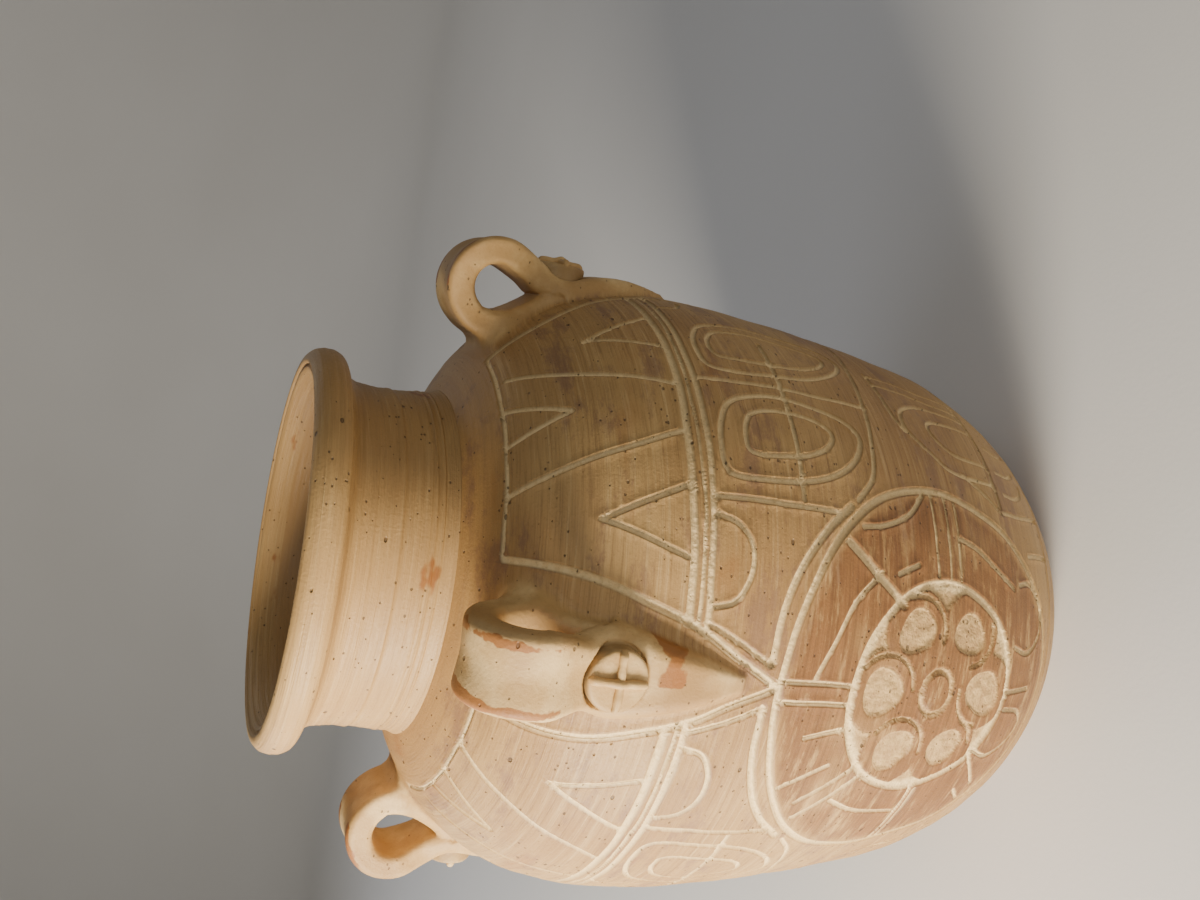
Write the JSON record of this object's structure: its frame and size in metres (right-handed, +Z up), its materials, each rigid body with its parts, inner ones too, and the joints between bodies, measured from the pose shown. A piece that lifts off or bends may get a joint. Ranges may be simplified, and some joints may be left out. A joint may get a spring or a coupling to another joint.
{
  "type": "amphora",
  "caption": "Free-standing fired-clay amphora: swelling body on a flat base, short neck, rolled rim, strap handles with round medallions set at right angles round the shoulder.",
  "frame": {"origin": "centre of the underside of the base", "axes": "+Z up along the vessel's axis, one handle on each of -Y (front), +X (right), +Y (back) and -X (left)"},
  "size_m": [0.2696, 0.2696, 0.33],
  "materials": {
    "body_clay": "matt buff clay with a brushed pale slip",
    "neck_clay": "matt ochre clay, fine throwing lines",
    "handle_clay": "matt pale slip worn to orange clay at the edges"
  },
  "bodies": {
    "root": {"base_disc": "body_clay", "lower_body": "body_clay", "upper_body": "body_clay", "neck_collar": "neck_clay", "rim_ring": "neck_clay", "handle_front": "handle_clay", "medallion_front": "handle_clay", "bar_across_front": "handle_clay", "bar_upright_front": "handle_clay", "handle_right": "handle_clay", "medallion_right": "handle_clay", "bar_across_right": "handle_clay", "bar_upright_right": "handle_clay", "handle_back": "handle_clay", "medallion_back": "handle_clay", "bar_across_back": "handle_clay", "bar_upright_back": "handle_clay", "handle_left": "handle_clay", "medallion_left": "handle_clay", "bar_across_left": "handle_clay", "bar_upright_left": "handle_clay"}
  },
  "joints": []
}
